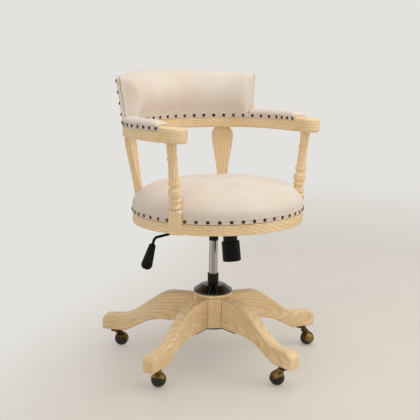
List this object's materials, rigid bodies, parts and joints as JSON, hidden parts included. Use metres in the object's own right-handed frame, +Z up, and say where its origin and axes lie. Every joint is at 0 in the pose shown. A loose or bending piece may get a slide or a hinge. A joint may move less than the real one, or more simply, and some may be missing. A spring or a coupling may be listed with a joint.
{
  "type": "swivel desk armchair",
  "caption": "Captain's swivel desk armchair: pale limed wood, domed round seat and curved back in cream linen with nail trim, star base on castors.",
  "frame": {"origin": "on the floor, on the swivel axis", "axes": "+Z up, the sitter faces -Y; left (-X) and right (+X) in names are as seen from in front"},
  "size_m": [0.6636, 0.6473, 0.8508],
  "materials": {
    "limed_oak": "limed oak, brushed and waxed",
    "seat_plywood": "plain plywood",
    "cream_linen": "cream linen weave",
    "antique_nails": "antique bronze",
    "black_metal": "black powder coat",
    "black_plastic": "moulded black",
    "black_gloss": "moulded black, shiny",
    "plain_steel": "plain",
    "column_chrome": "polished",
    "castor_brass": "antique brass",
    "castor_black": "black nylon"
  },
  "bodies": {
    "base": {"hub_core": "limed_oak", "hub_disc": "limed_oak", "leg_1": "limed_oak", "leg_2": "limed_oak", "leg_3": "limed_oak", "leg_4": "limed_oak", "leg_5": "limed_oak", "star_plate": "black_metal", "star_plate_screws": "plain_steel", "castor_sockets": "plain_steel", "outer_tube": "black_metal", "guide_bush": "black_plastic", "thrust_bearing": "plain_steel", "dome_cover": "black_gloss"},
    "castor_1": {"castor_hood_1": "castor_brass"},
    "wheel_1": {"castor_wheel_1": "castor_black"},
    "castor_2": {"castor_hood_2": "castor_brass"},
    "wheel_2": {"castor_wheel_2": "castor_black"},
    "castor_3": {"castor_hood_3": "castor_brass"},
    "wheel_3": {"castor_wheel_3": "castor_black"},
    "castor_4": {"castor_hood_4": "castor_brass"},
    "wheel_4": {"castor_wheel_4": "castor_black"},
    "castor_5": {"castor_hood_5": "castor_brass"},
    "wheel_5": {"castor_wheel_5": "castor_black"},
    "spindle": {"piston_rod": "plain_steel", "retaining_clip": "plain_steel"},
    "column": {"pressure_tube": "column_chrome", "mech_housing": "black_metal", "tilt_pivot_pin": "plain_steel", "tilt_spring": "plain_steel"},
    "valve": {"valve_button": "plain_steel"},
    "lever": {"lever_rod": "black_metal", "lever_grip": "black_plastic"},
    "bolt": {"tension_bolt": "plain_steel"},
    "knob": {"tension_knob": "black_plastic"},
    "seat": {"tilt_plate": "black_metal", "plate_bolts": "plain_steel", "seat_rim_left": "limed_oak", "seat_rim_front": "limed_oak", "seat_rim_right": "limed_oak", "seat_rim_back": "limed_oak", "seat_board": "seat_plywood", "arm_post_left": "limed_oak", "arm_post_right": "limed_oak", "splat_left": "limed_oak", "splat_right": "limed_oak", "rail_back": "limed_oak", "rail_left": "limed_oak", "rail_right": "limed_oak", "hand_rest_left": "limed_oak", "hand_rest_right": "limed_oak", "arm_pad_left": "cream_linen", "arm_pad_right": "cream_linen", "back_panel": "seat_plywood", "back_cushion": "cream_linen", "back_cover": "cream_linen", "seat_cushion": "cream_linen", "upholstery_nails": "antique_nails"}
  },
  "joints": [
    {"name": "castor_1_swivel", "type": "hinge", "parent": "base", "child": "castor_1", "pos_m": [0.02028, -0.30533, 0.04], "axis": [0, 0, 1], "continuous": true},
    {"name": "wheel_1_spin", "type": "hinge", "parent": "castor_1", "child": "wheel_1", "pos_m": [0.01317, -0.28345, 0.021], "axis": [0.1545, -0.4755, -0.866], "continuous": true},
    {"name": "castor_2_swivel", "type": "hinge", "parent": "base", "child": "castor_2", "pos_m": [0.29665, -0.07506, 0.04], "axis": [0, 0, 1], "continuous": true},
    {"name": "wheel_2_spin", "type": "hinge", "parent": "castor_2", "child": "wheel_2", "pos_m": [0.30745, -0.09537, 0.021], "axis": [-0.2347, 0.4415, -0.866], "continuous": true},
    {"name": "castor_3_swivel", "type": "hinge", "parent": "base", "child": "castor_3", "pos_m": [0.16306, 0.25894, 0.04], "axis": [0, 0, 1], "continuous": true},
    {"name": "wheel_3_spin", "type": "hinge", "parent": "castor_3", "child": "wheel_3", "pos_m": [0.15371, 0.27995, 0.021], "axis": [0.2034, -0.4568, -0.866], "continuous": true},
    {"name": "castor_4_swivel", "type": "hinge", "parent": "base", "child": "castor_4", "pos_m": [-0.19587, 0.23509, 0.04], "axis": [0, 0, 1], "continuous": true},
    {"name": "wheel_4_spin", "type": "hinge", "parent": "castor_4", "child": "wheel_4", "pos_m": [-0.17346, 0.24027, 0.021], "axis": [-0.4872, -0.1125, -0.866], "continuous": true},
    {"name": "castor_5_swivel", "type": "hinge", "parent": "base", "child": "castor_5", "pos_m": [-0.28412, -0.11364, 0.04], "axis": [0, 0, 1], "continuous": true},
    {"name": "wheel_5_spin", "type": "hinge", "parent": "castor_5", "child": "wheel_5", "pos_m": [-0.26551, -0.10012, 0.021], "axis": [-0.4045, -0.2939, -0.866], "continuous": true},
    {"name": "seat_swivel", "type": "hinge", "parent": "base", "child": "spindle", "pos_m": [0, 0, 0.11], "axis": [0, 0, 1], "continuous": true},
    {"name": "seat_lift", "type": "slide", "parent": "spindle", "child": "column", "axis": [0, 0, 1], "range_m": [-0.085, 0]},
    {"name": "seat_tilt", "type": "hinge", "parent": "column", "child": "seat", "pos_m": [0, -0.03, 0.4295], "axis": [-1, 0, 0], "range_deg": [0, 12], "stiffness_Nm_per_rad": 60, "springref_deg": -17.19, "deforming": ["tilt_spring"]},
    {"name": "bolt_pull", "type": "slide", "parent": "column", "child": "bolt", "axis": [0, 0.1564, 0.9877], "range_m": [0, 0.0085]},
    {"name": "tension_turn", "type": "hinge", "parent": "bolt", "child": "knob", "pos_m": [0, -0.06977, 0.43689], "axis": [0, 0.1564, 0.9877], "range_deg": [-360, 360]},
    {"name": "lever_lift", "type": "hinge", "parent": "column", "child": "lever", "pos_m": [-0.021, 0, 0.41416], "axis": [0, 1, 0], "range_deg": [0, 5], "stiffness_Nm_per_rad": 3, "springref_deg": -5.73},
    {"name": "valve_press", "type": "slide", "parent": "column", "child": "valve", "axis": [0, 0, -1], "range_m": [0, 0.0025]}
  ],
  "couplings": [
    {"joint": "bolt_pull", "follows": "seat_tilt", "m_per_rad": 0.04},
    {"joint": "valve_press", "follows": "lever_lift", "m_per_rad": 0.0215}
  ]
}
